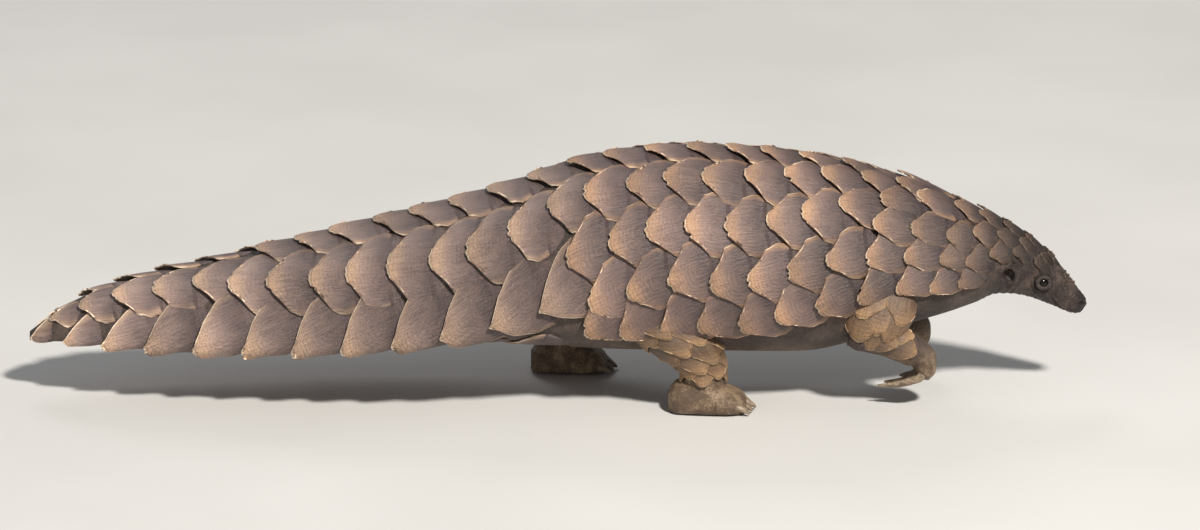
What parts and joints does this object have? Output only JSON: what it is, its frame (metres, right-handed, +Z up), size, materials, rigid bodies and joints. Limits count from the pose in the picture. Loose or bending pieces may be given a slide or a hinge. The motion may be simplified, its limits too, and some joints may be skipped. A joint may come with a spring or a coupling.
{
  "type": "ground pangolin",
  "caption": "Life-size ground pangolin walking on its hind feet, clad in overlapping horny plates, head low and broad tail held straight out behind.",
  "frame": {"origin": "centre of the bounding box on the floor", "axes": "+X points to the snout, +Z up; the animal's right side is at -Y"},
  "size_m": [0.9534, 0.2018, 0.2308],
  "materials": {
    "plates": "satin horn",
    "skin": "matte",
    "claws": "satin horn",
    "eye": "gloss"
  },
  "bodies": {
    "root": {"tail_tip": "plates", "tail_middle": "plates", "tail_base": "plates", "torso": "plates", "neck": "plates", "head": "skin", "ear_right": "skin", "ear_left": "skin", "eye_right": "eye", "eye_left": "eye", "foreleg_right": "plates", "foreleg_left": "plates", "forefoot_right": "claws", "forefoot_left": "claws", "hindleg_right": "plates", "hindleg_left": "plates", "hindfoot_right": "claws", "hindfoot_left": "claws"}
  },
  "joints": []
}
